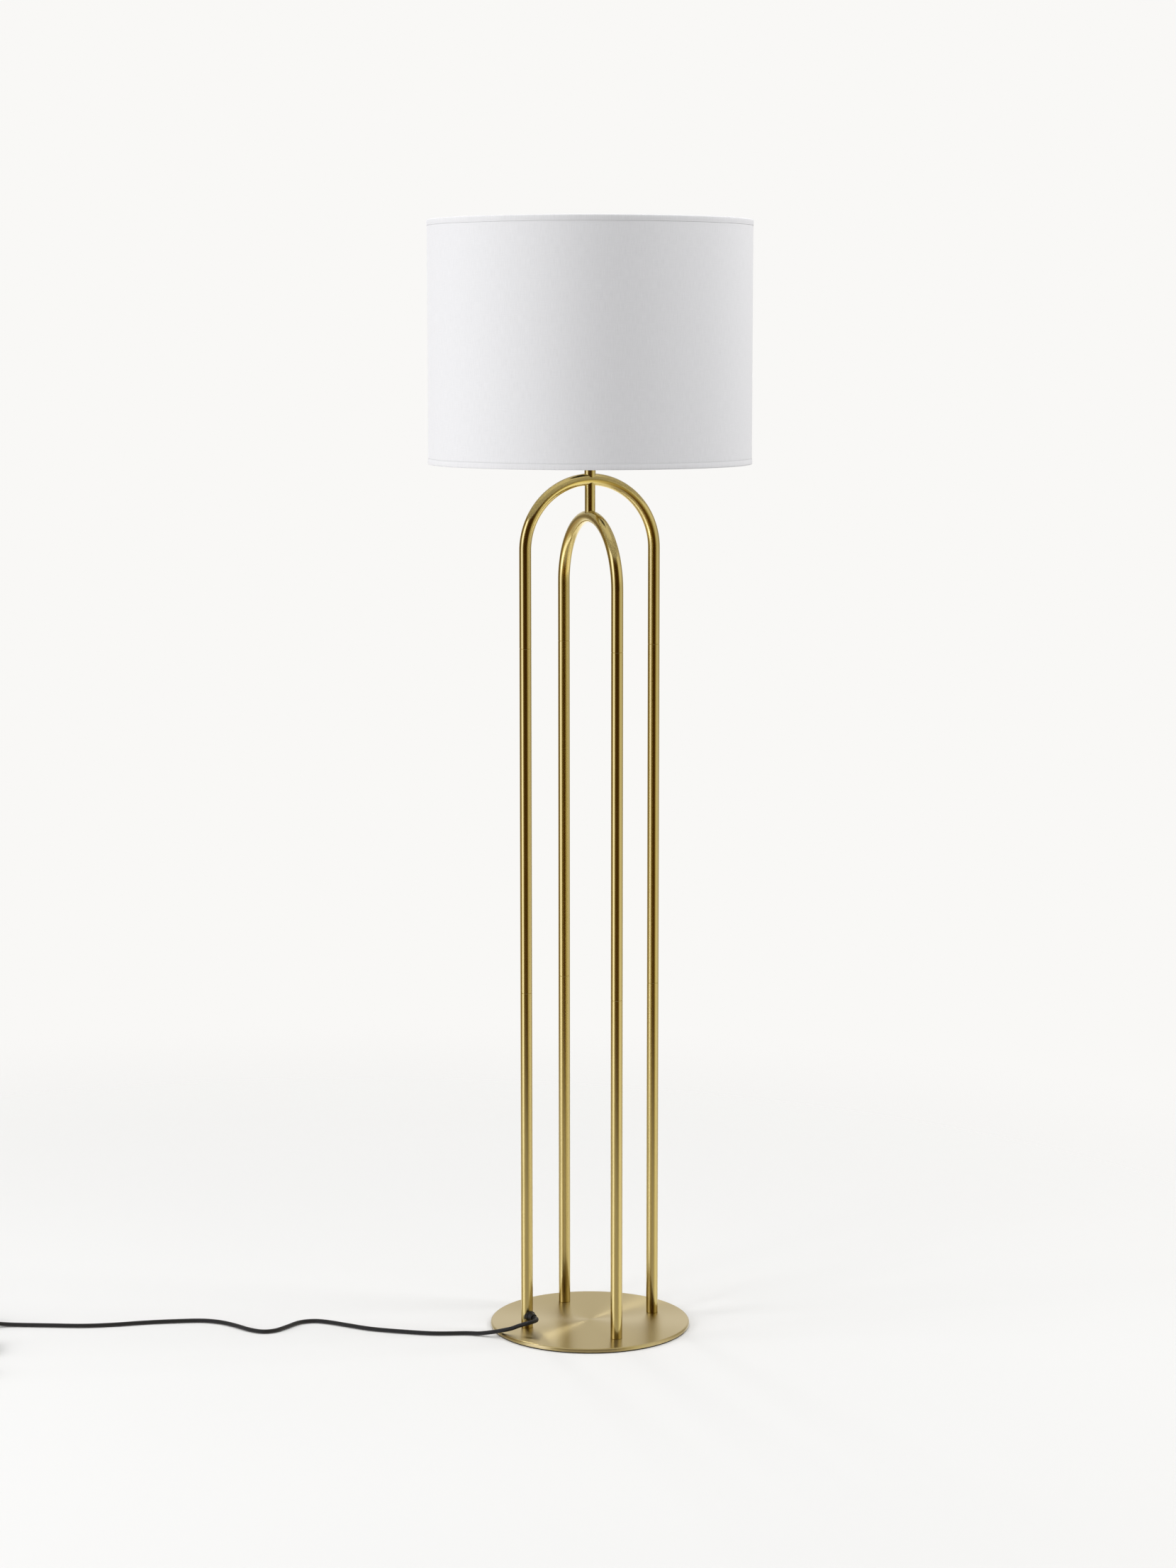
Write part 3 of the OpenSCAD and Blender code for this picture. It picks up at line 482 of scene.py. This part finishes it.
tubes = ["lower_tube_left", "lower_tube_front", "lower_tube_right", "lower_tube_back",
         "middle_tube_left", "middle_tube_front", "middle_tube_right", "middle_tube_back"]
paint(brushedBrassTube("brushedBrassTube", "X", brassLook["noBend"]), *tubes, "crown_post", "neck_tube")
paint(brushedBrassTube("brushedBrassOuterArch", "X", brassLook["outerBend"]), "outer_arch")
paint(brushedBrassTube("brushedBrassInnerArch", "Y", brassLook["innerBend"]), "inner_arch")
paint(spunBrassPlate(), "base_plate")
print("brass done")


def mottled(name, values, dark, light, scale, bumpStrength, bumpDistance, roughSpan=None):
    # one surface with a fine uneven tone and relief
    material, tree, shader = startMaterial(name, values)
    place = addNode(tree, "ShaderNodeTexCoord").outputs["Object"]
    noise = addNode(tree, "ShaderNodeTexNoise", {"Scale": scale, "Detail": 4, "Roughness": 0.6},
                    {"Vector": place})
    color = addRamp(tree, noise.outputs["Fac"], [(0.3, hexToLinear(dark)), (0.7, hexToLinear(light))])
    bump = addNode(tree, "ShaderNodeBump", {"Strength": bumpStrength, "Distance": bumpDistance * mm},
                   {"Height": noise.outputs["Fac"]})
    tree.links.new(color, shader.inputs["Base Color"])
    tree.links.new(bump.outputs["Normal"], shader.inputs["Normal"])
    if roughSpan:
        rough = addNode(tree, "ShaderNodeMapRange", {"To Min": roughSpan[0], "To Max": roughSpan[1]},
                        {"Value": noise.outputs["Fac"]})
        tree.links.new(rough.outputs["Result"], shader.inputs["Roughness"])
    return material


# die-cut EVA foam: soft matt black with open pores
paint(mottled("dieCutEvaFoam", {"Roughness": 0.9, "IOR": 1.45}, "#101012", "#1e1e20", 1500, 0.4, 0.2),
      "base_pad")
# zinc-plated steel: cool grey, slightly cloudy
zincPlated = mottled("zincPlatedSteel", {"Metallic": 1.0}, "#a9acb0", "#c4c7ca", 260, 0.1, 0.03, (0.24, 0.42))
paint(zincPlated, "base_screws", "leg_plugs", "joint_sockets", "joint_studs", "neck_bush", "neck_nipple",
      "neck_nut", "holder_screws", "switch_screws", "switch_spring", "bulb_tip")
# injection-moulded PBT: black with a fine spark-eroded texture
mouldedBlack = mottled("mouldedBlackPbt", {"IOR": 1.5}, "#121213", "#1d1d1f", 2200, 0.25, 0.05, (0.38, 0.55))
paint(mouldedBlack, "holder_cap", "holder_skirt", "lower_shade_nut", "upper_shade_nut", "switch_base",
      "switch_cover", "plug_body")
# moulded ABS: satin black, a little glossier than the cover
paint(mottled("satinBlackAbs", {"IOR": 1.53}, "#1d1d20", "#27272a", 1200, 0.1, 0.03, (0.25, 0.36)),
      "switch_button")
# glazed steatite: off-white, waxy
paint(mottled("glazedSteatite", {"Roughness": 0.3, "IOR": 1.55, "Coat Weight": 0.4, "Coat Roughness": 0.15},
              "#ddd6c6", "#ece7db", 300, 0.15, 0.06), "holder_core", "switch_block")
# pressed brass sheet: bright, slightly oxidised
paint(mottled("pressedBrass", {"Metallic": 1.0}, "#c99f4a", "#e0bd69", 180, 0.08, 0.03, (0.2, 0.38)),
      "holder_shell", "holder_contact", "switch_contacts")
# nickel-plated brass: warm bright grey
paint(mottled("nickelPlatedBrass", {"Metallic": 1.0}, "#c6c4be", "#d9d7d1", 400, 0.05, 0.02, (0.12, 0.22)),
      "plug_pins")
# pressed aluminium: pale grey, faintly cloudy
paint(mottled("pressedAluminium", {"Metallic": 1.0}, "#bfc0c2", "#d6d7d8", 350, 0.1, 0.03, (0.22, 0.36)),
      "bulb_cap")
# vitrite: black glass
paint(mottled("blackVitrite", {"Roughness": 0.08, "IOR": 1.55}, "#070608", "#131114", 500, 0.05, 0.02),
      "bulb_insulator")
# opal blown glass: milky, with a clear gloss on top
paint(mottled("opalBlownGlass", {"Roughness": 0.12, "IOR": 1.52, "Coat Weight": 0.6, "Coat Roughness": 0.04,
                                 "Subsurface Weight": 0.25, "Subsurface Scale": 0.01,
                                 "Subsurface Radius": (1, 1, 1)},
              "#efeee9", "#f7f6f2", 40, 0.02, 0.05), "bulb_globe")
# extruded PVC: smooth coloured insulation
for name, dark, light in (("core_live", "#5a3016", "#6f3f20"), ("core_neutral", "#274f96", "#3263b0")):
    paint(mottled("pvc_" + name, {"Roughness": 0.35, "IOR": 1.53}, dark, light, 300, 0.08, 0.03), name)
# moulded TPE rubber: black, satin, faint bloom
moulded = mottled("mouldedBlackRubber", {"IOR": 1.52}, "#050505", "#0d0d0e", 700, 0.2, 0.04, (0.34, 0.5))
paint(moulded, "cord_grip", "switch_sleeves", "plug_sleeve")
# powder-coated steel wire: white with a faint orange peel
powderWhite = mottled("powderCoatedWhite", {"IOR": 1.5}, "#e6e6e3", "#f1f1ef", 900, 0.2, 0.06, (0.35, 0.48))
paint(powderWhite, "top_ring", "bottom_ring", "shade_fitter")
print("small parts done")


shadeShape = {
    "radius": 215.0,
    "thick": 0.5,
    "bottom": 1180.0,
    "top": 1500.0,
    "seamTurn": 118,       # degrees, where the lap seam runs down, behind
    "lap": 12.0,
    "clear": 0.02,         # between two layers of cloth
    "inset": 0.06,         # keeps the cloth inside the edge tape
    "swell": 0.05,         # how far the cloth is out of true
    "hemTurn": 1.6,        # radius of the tape's folds
    "hemOut": 215.6,
    "hemIn": 209.2,
    "hemThick": 0.5,
    "hemHigh": 8.0,        # the outer leg
    "hemFold": 9.0,        # the inner leg
    "around": 240,
    "rows": 40,
}


def seamRadius(angle, lapAngle):
    # rises by one thickness where the end of the strip lies on its start
    t = min(1, max(0, (angle - (360 - 0.5 * lapAngle)) / (0.5 * lapAngle)))
    return (shadeShape["thick"] + shadeShape["clear"]) * t * t * (3 - 2 * t)


def buildCloth(shape):
    lapAngle = math.degrees(shape["lap"] / shape["radius"])
    span = 360 + lapAngle
    count = shape["around"]
    z0, z1 = shape["bottom"] + shape["hemTurn"], shape["top"] - shape["hemTurn"]
    points, uvs, faces, faceUv = [], [], [], []
    for i in range(count + 1):
        angle = span * i / count
        lift = seamRadius(angle, lapAngle)
        a = math.radians(angle + shape["seamTurn"])
        for k in range(shape["rows"] + 1):
            z = z0 + (z1 - z0) * k / shape["rows"]
            swell = shape["swell"] * math.sin(3 * a + 1.3) * math.sin(math.pi * (z - z0) / (z1 - z0))
            r = shape["radius"] + lift - shape["inset"] + swell
            for depth in (0, shape["thick"] - shape["clear"]):
                out = Vector((math.cos(a), math.sin(a), 0))
                points.append(out * (r - depth) * mm + Vector((0, 0, z * mm)))
                uvs.append((math.radians(angle) * shape["radius"], z - z0))
    row = 2 * (shape["rows"] + 1)

    def addFace(corners):
        faces.append(tuple(corners))
        faceUv.append([uvs[c] for c in corners])

    for i in range(count):
        for k in range(shape["rows"]):
            a, b = i * row + 2 * k, (i + 1) * row + 2 * k
            addFace((a, b, b + 2, a + 2))
            addFace((b + 1, a + 1, a + 3, b + 3))
        a, b = i * row, (i + 1) * row
        addFace((a + 1, b + 1, b, a))
        a, b = a + 2 * shape["rows"], b + 2 * shape["rows"]
        addFace((a, b, b + 1, a + 1))
    for i, turn in ((0, 1), (count, -1)):
        for k in range(shape["rows"]):
            a = i * row + 2 * k
            addFace((a, a + 2, a + 3, a + 1)[::turn])
    return meshFrom("shadeCloth", points, faces, faceUv)


def buildHem(shape, atTop):
    # a tape folded over the ring: outside leg, rounded edge, inside leg, as one closed section
    outR, inR, t = shape["hemOut"], shape["hemIn"], shape["hemThick"]
    turn, high, fold = shape["hemTurn"], shape["hemHigh"], shape["hemFold"]

    def corner(r, z, radius, a0, a1, count=6):
        return [(r + radius * math.cos(math.radians(a0 + (a1 - a0) * i / count)),
                 z + radius * math.sin(math.radians(a0 + (a1 - a0) * i / count))) for i in range(count + 1)]

    section = ([(outR - 0.53, high - 0.1), (outR - 0.2, high * 0.8), (outR, high * 0.4)]
               + corner(outR - turn, turn, turn, 0, -90)
               + corner(inR + turn, turn, turn, -90, -180)
               + [(inR, fold), (inR + t, fold)]
               + corner(inR + turn, turn, turn - t, -180, -90) + corner(outR - turn, turn, turn - t, -90, 0)
               + [(outR - t, high * 0.5), (outR - t, high)])
    count, size = shape["around"], len(section)
    phase = rng.uniform(0, 6)
    points, faces, faceUv = [], [], []
    along = [0.0]
    for p, q in zip(section, section[1:]):
        along.append(along[-1] + math.hypot(q[0] - p[0], q[1] - p[1]))
    for i in range(count):
        a = 2 * math.pi * i / count
        for s, (r, z) in enumerate(section):
            sway = 0.05 * math.sin(7 * a + phase) + 0.04 * math.sin(19 * a + 2 * phase)
            lift = sway if z > high * 0.8 else 0
            height = z + lift
            height = shape["top"] - height if atTop else shape["bottom"] + height
            points.append(Vector((math.cos(a), math.sin(a), 0)) * r * mm + Vector((0, 0, height * mm)))
    for i in range(count):
        for s in range(size):
            k, n = (i + 1) % count, (s + 1) % size
            ring = (i * size + s, k * size + s, k * size + n, i * size + n)
            u0, u1 = (j * 2 * math.pi * shape["radius"] / count for j in (i, i + 1))
            v0, v1 = along[s], along[n] if n else along[s] + 0.5
            corners = [(u0, v0), (u1, v0), (u1, v1), (u0, v1)]
            if atTop:
                ring, corners = ring[::-1], corners[::-1]
            faces.append(ring[::-1])
            faceUv.append(corners[::-1])
    return meshFrom("topHem" if atTop else "bottomHem", points, faces, faceUv)


clothLook = {
    "white": "#efeff1",
    "shadow": "#e8e8ea",
    "tape": ("#e6e6e8", "#eeeef0"),
    "thread": 0.9,         # millimetres between warp threads, drawn coarse so that they show
    "slub": 14.0,          # millimetres, length of a thick place in a thread
}


def wovenCotton(name, dark, light):
    # plain-weave cotton laminated on styrene: matt white, upright threads slightly uneven
    material, tree, shader = startMaterial(name, {
        "Roughness": 0.85, "IOR": 1.46, "Sheen Weight": 0.1, "Sheen Roughness": 0.4})
    uv = addNode(tree, "ShaderNodeTexCoord").outputs["UV"]
    fine, long = 1 / clothLook["thread"], 1 / clothLook["slub"]
    warpPlace = addNode(tree, "ShaderNodeVectorMath", {1: (fine, long, 1)}, {0: uv}, operation="MULTIPLY")
    weftPlace = addNode(tree, "ShaderNodeVectorMath", {1: (long, fine, 1)}, {0: uv}, operation="MULTIPLY")
    warp = addNode(tree, "ShaderNodeTexNoise", {"Scale": 1, "Detail": 3}, {"Vector": warpPlace.outputs[0]})
    weft = addNode(tree, "ShaderNodeTexNoise", {"Scale": 1, "Detail": 2}, {"Vector": weftPlace.outputs[0]})
    weave = addNode(tree, "ShaderNodeMix", {"Factor": 0.3}, data_type="FLOAT")
    tree.links.new(warp.outputs["Fac"], weave.inputs["A"])
    tree.links.new(weft.outputs["Fac"], weave.inputs["B"])
    color = addRamp(tree, weave.outputs["Result"], [(0.3, hexToLinear(dark)), (0.62, hexToLinear(light))])
    bump = addNode(tree, "ShaderNodeBump", {"Strength": 0.1, "Distance": 0.12 * mm},
                   {"Height": weave.outputs["Result"]})
    tree.links.new(color, shader.inputs["Base Color"])
    tree.links.new(bump.outputs["Normal"], shader.inputs["Normal"])
    return material


cotton = wovenCotton("wovenWhiteCotton", clothLook["shadow"], clothLook["white"])
hemCotton = wovenCotton("foldedCottonTape", *clothLook["tape"])
shadeCloth = newPiece("shadeCloth", buildCloth(shadeShape), cotton, "shade")
topHem = newPiece("topHem", buildHem(shadeShape, True), hemCotton, "shade")
bottomHem = newPiece("bottomHem", buildHem(shadeShape, False), hemCotton, "shade")
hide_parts("shade_cloth")
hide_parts("top_hem")
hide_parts("bottom_hem")
# laminated styrene lining: smooth, slightly glossy white
paint(mottled("laminatedStyrene", {"IOR": 1.57}, "#eceae6", "#f4f2ee", 60, 0.05, 0.1, (0.34, 0.46)),
      "shade_lining")
print("shade done")


studio = {
    "floorRadius": 3.2,
    "centre": (-0.4, 0.1, 0),
    "solidTo": 0.6,        # metres; further out the floor fades into the backdrop
    "fadeTo": 2.1,
    "floorColor": "#f1f1f0",
    "backdrop": "#f9f8f6",
    "inMetal": (0.6, 0.5),    # how solid the floor is in the metal, close to the base and away from it
    "nearBase": (0.16, 0.26),
    "ambient": 0.37,
    "lightColor": (1, 0.997, 0.997),
    "roof": (0.9, 0.88, 0.84, 1),
    "roofRise": (0.55, 0.9),      # upward part of a direction where the roof starts, and where it is full
    "deepen": (-0.165, -0.075),   # the same for the higher contrast near the horizon
    "deepest": 1.21,
}


def buildFloor():
    segments, rings = 96, 8
    points, faces = [Vector((0, 0, 0))], []
    for k in range(1, rings + 1):
        for i in range(segments):
            a = 2 * math.pi * i / segments
            points.append(Vector((math.cos(a), math.sin(a), 0)) * studio["floorRadius"] * k / rings)
    for i in range(segments):
        faces.append((0, 1 + i, 1 + (i + 1) % segments))
        for k in range(rings - 1):
            a, b = 1 + k * segments, 1 + (k + 1) * segments
            j = (i + 1) % segments
            faces.append((a + i, b + i, b + j, a + j))
    material, tree, shader = startMaterial("paintedFloor", {
        "Base Color": hexToLinear(studio["floorColor"]), "Roughness": 0.7, "Specular IOR Level": 0.2})
    place = addNode(tree, "ShaderNodeTexCoord").outputs["Object"]
    apart = addNode(tree, "ShaderNodeVectorMath", {1: studio["centre"]}, {0: place}, operation="SUBTRACT")
    reach = addNode(tree, "ShaderNodeVectorMath", links={0: apart.outputs[0]}, operation="LENGTH")
    fade = addNode(tree, "ShaderNodeMapRange", {
        "From Min": studio["solidTo"], "From Max": studio["fadeTo"], "To Min": 1, "To Max": 0},
        {"Value": reach.outputs["Value"]}, interpolation_type="SMOOTHSTEP")
    rays = addNode(tree, "ShaderNodeLightPath")
    fromBase = addNode(tree, "ShaderNodeVectorMath", links={0: place}, operation="LENGTH")
    solid = addNode(tree, "ShaderNodeMapRange", {
        "From Min": studio["nearBase"][0], "From Max": studio["nearBase"][1],
        "To Min": studio["inMetal"][0], "To Max": studio["inMetal"][1]}, {"Value": fromBase.outputs["Value"]})
    thin = addNode(tree, "ShaderNodeMapRange", {"To Min": 1},
                   {"Value": rays.outputs["Is Glossy Ray"], "To Max": solid.outputs["Result"]})
    alpha = addNode(tree, "ShaderNodeMath", links={0: fade.outputs["Result"], 1: thin.outputs["Result"]},
                    operation="MULTIPLY")
    tree.links.new(alpha.outputs[0], shader.inputs["Alpha"])
    mesh = meshFrom("floor", points, faces)
    floor = bpy.data.objects.new("floor", mesh)
    bpy.context.scene.collection.objects.link(floor)
    mesh.materials.append(material)


# what the metal sees, by compass direction from the camera's side: degrees and light
surroundings = [
    (-180, (1.0, 0.98, 0.96)), (-150, (0.8, 0.78, 0.72)), (-135, (0.4, 0.34, 0.24)),
    (-112, (0.25, 0.16, 0.08)), (-96, (0.42, 0.34, 0.14)), (-84, (0.8, 0.8, 0.7)),
    (-76, (1.75, 1.8, 2.2)), (-54, (1.75, 1.8, 2.2)), (-46, (0.7, 0.66, 0.5)), (-38, (0.3, 0.24, 0.1)),
    (-26, (0.14, 0.075, 0.01)), (0, (0.09, 0.042, 0.004)), (26, (0.1, 0.05, 0.006)),
    (38, (0.36, 0.27, 0.09)), (54, (0.9, 0.86, 0.62)), (72, (1.0, 1.0, 0.93)), (95, (0.98, 0.96, 0.95)),
    (115, (0.72, 0.68, 0.6)), (138, (0.5, 0.46, 0.36)), (155, (0.9, 0.88, 0.85)),
    (180, (1.0, 0.98, 0.96))]

# how strong it is by height of the direction, -1 straight down to 1 straight up
roomGain = [(-1, 1.5), (-0.29, 1.5), (-0.268, 1.2), (-0.225, 1.0), (-0.165, 0.92), (-0.075, 0.8),
            (0.05, 0.8), (0.16, 1.0)]


def buildWorld():
    world = bpy.data.worlds.new("studio")
    bpy.context.scene.world = world
    world.use_nodes = True
    tree = world.node_tree
    tree.nodes.clear()
    place = addNode(tree, "ShaderNodeTexCoord").outputs["Generated"]
    turned = addNode(tree, "ShaderNodeVectorRotate", {
        "Axis": (0, 0, 1), "Angle": math.radians(-cameraSettings["azimuth"])}, {"Vector": place})
    parts = addNode(tree, "ShaderNodeSeparateXYZ", links={"Vector": turned.outputs[0]})
    front = addNode(tree, "ShaderNodeMath", {1: -1}, {0: parts.outputs["Y"]}, operation="MULTIPLY")
    angle = addNode(tree, "ShaderNodeMath", links={0: parts.outputs["X"], 1: front.outputs[0]},
                    operation="ARCTAN2")
    share = addNode(tree, "ShaderNodeMapRange", {"From Min": -math.pi, "From Max": math.pi},
                    {"Value": angle.outputs[0]})
    stops = [((degrees + 180) / 360, (*light, 1)) for degrees, light in surroundings]
    seen = addRamp(tree, share.outputs["Result"], stops)
    roof = addNode(tree, "ShaderNodeMapRange", {
        "From Min": studio["roofRise"][0], "From Max": studio["roofRise"][1]},
        {"Value": parts.outputs["Z"]}, interpolation_type="SMOOTHSTEP")
    sky = addNode(tree, "ShaderNodeMix", {7: studio["roof"]},
                  {0: roof.outputs["Result"], 6: seen}, data_type="RGBA")
    # nearer the horizon the room gets darker and its contrast higher
    level = addNode(tree, "ShaderNodeMapRange", {"From Min": -1, "From Max": 1},
                    {"Value": parts.outputs["Z"]})
    gain = addRamp(tree, level.outputs["Result"], [((z + 1) / 2, (g, g, g, 1)) for z, g in roomGain])
    depth = addNode(tree, "ShaderNodeMapRange", {
        "From Min": studio["deepen"][0], "From Max": studio["deepen"][1],
        "To Min": 1, "To Max": studio["deepest"]}, {"Value": parts.outputs["Z"]})
    deep = addNode(tree, "ShaderNodeGamma", links={"Color": sky.outputs[2], "Gamma": depth.outputs["Result"]})
    rays = addNode(tree, "ShaderNodeLightPath")
    metal = addNode(tree, "ShaderNodeBackground", links={"Color": deep.outputs[0], "Strength": gain})
    soft = addNode(tree, "ShaderNodeBackground", {
        "Color": (*studio["lightColor"], 1), "Strength": studio["ambient"]})
    shown = addNode(tree, "ShaderNodeBackground", {
        "Color": hexToLinear(studio["backdrop"]), "Strength": 1.0})
    first = addNode(tree, "ShaderNodeMixShader", links={
        0: rays.outputs["Is Glossy Ray"], 1: soft.outputs[0], 2: metal.outputs[0]})
    last = addNode(tree, "ShaderNodeMixShader", links={
        0: rays.outputs["Is Camera Ray"], 1: first.outputs[0], 2: shown.outputs[0]})
    addNode(tree, "ShaderNodeOutputWorld", links={"Surface": last.outputs[0]})


# each soft box's compass direction from the camera's side, height, distance, size, power and aim height
softBoxes = {
    "leftBox": {"turn": -75, "height": 1.6, "distance": 4.2, "size": (1.4, 2.2), "power": 70, "aim": 1.2},
    "frontBox": {"turn": -44, "height": 1.6, "distance": 4.2, "size": (0.8, 1.6), "power": 26, "aim": 1.2},
    "rightBox": {"turn": 89, "height": 2.4, "distance": 2.4, "size": (0.9, 1.2), "power": 31, "aim": 1.4},
    "streakBox": {"turn": -157, "height": 2.2, "distance": 2.05, "size": (0.3, 0.3), "power": 6, "aim": 0},
    "topBox": {"turn": 0, "height": 4.2, "distance": 0.3, "size": (4.0, 4.0), "power": 80, "aim": 0},
}


def buildLights():
    for name, box in softBoxes.items():
        light = bpy.data.lights.new(name, "AREA")
        light.shape = "RECTANGLE"
        light.size, light.size_y = box["size"]
        light.energy = box["power"]
        light.color = studio["lightColor"]
        lamp = bpy.data.objects.new(name, light)
        a = math.radians(box["turn"] + cameraSettings["azimuth"] - 90)
        place = Vector((math.cos(a) * box["distance"], math.sin(a) * box["distance"], box["height"]))
        lamp.location = place
        aim = Vector((0, 0, box["aim"])) - place
        lamp.rotation_euler = aim.to_track_quat("-Z", "Y").to_euler()
        lamp.visible_glossy = name == "streakBox"  # its glint makes the streak across the base
        lamp.visible_camera = False
        bpy.context.scene.collection.objects.link(lamp)


buildFloor()
buildWorld()
buildLights()
bpy.context.scene.view_settings.view_transform = "Standard"
bpy.context.scene.view_settings.look = "None"
print("studio done")
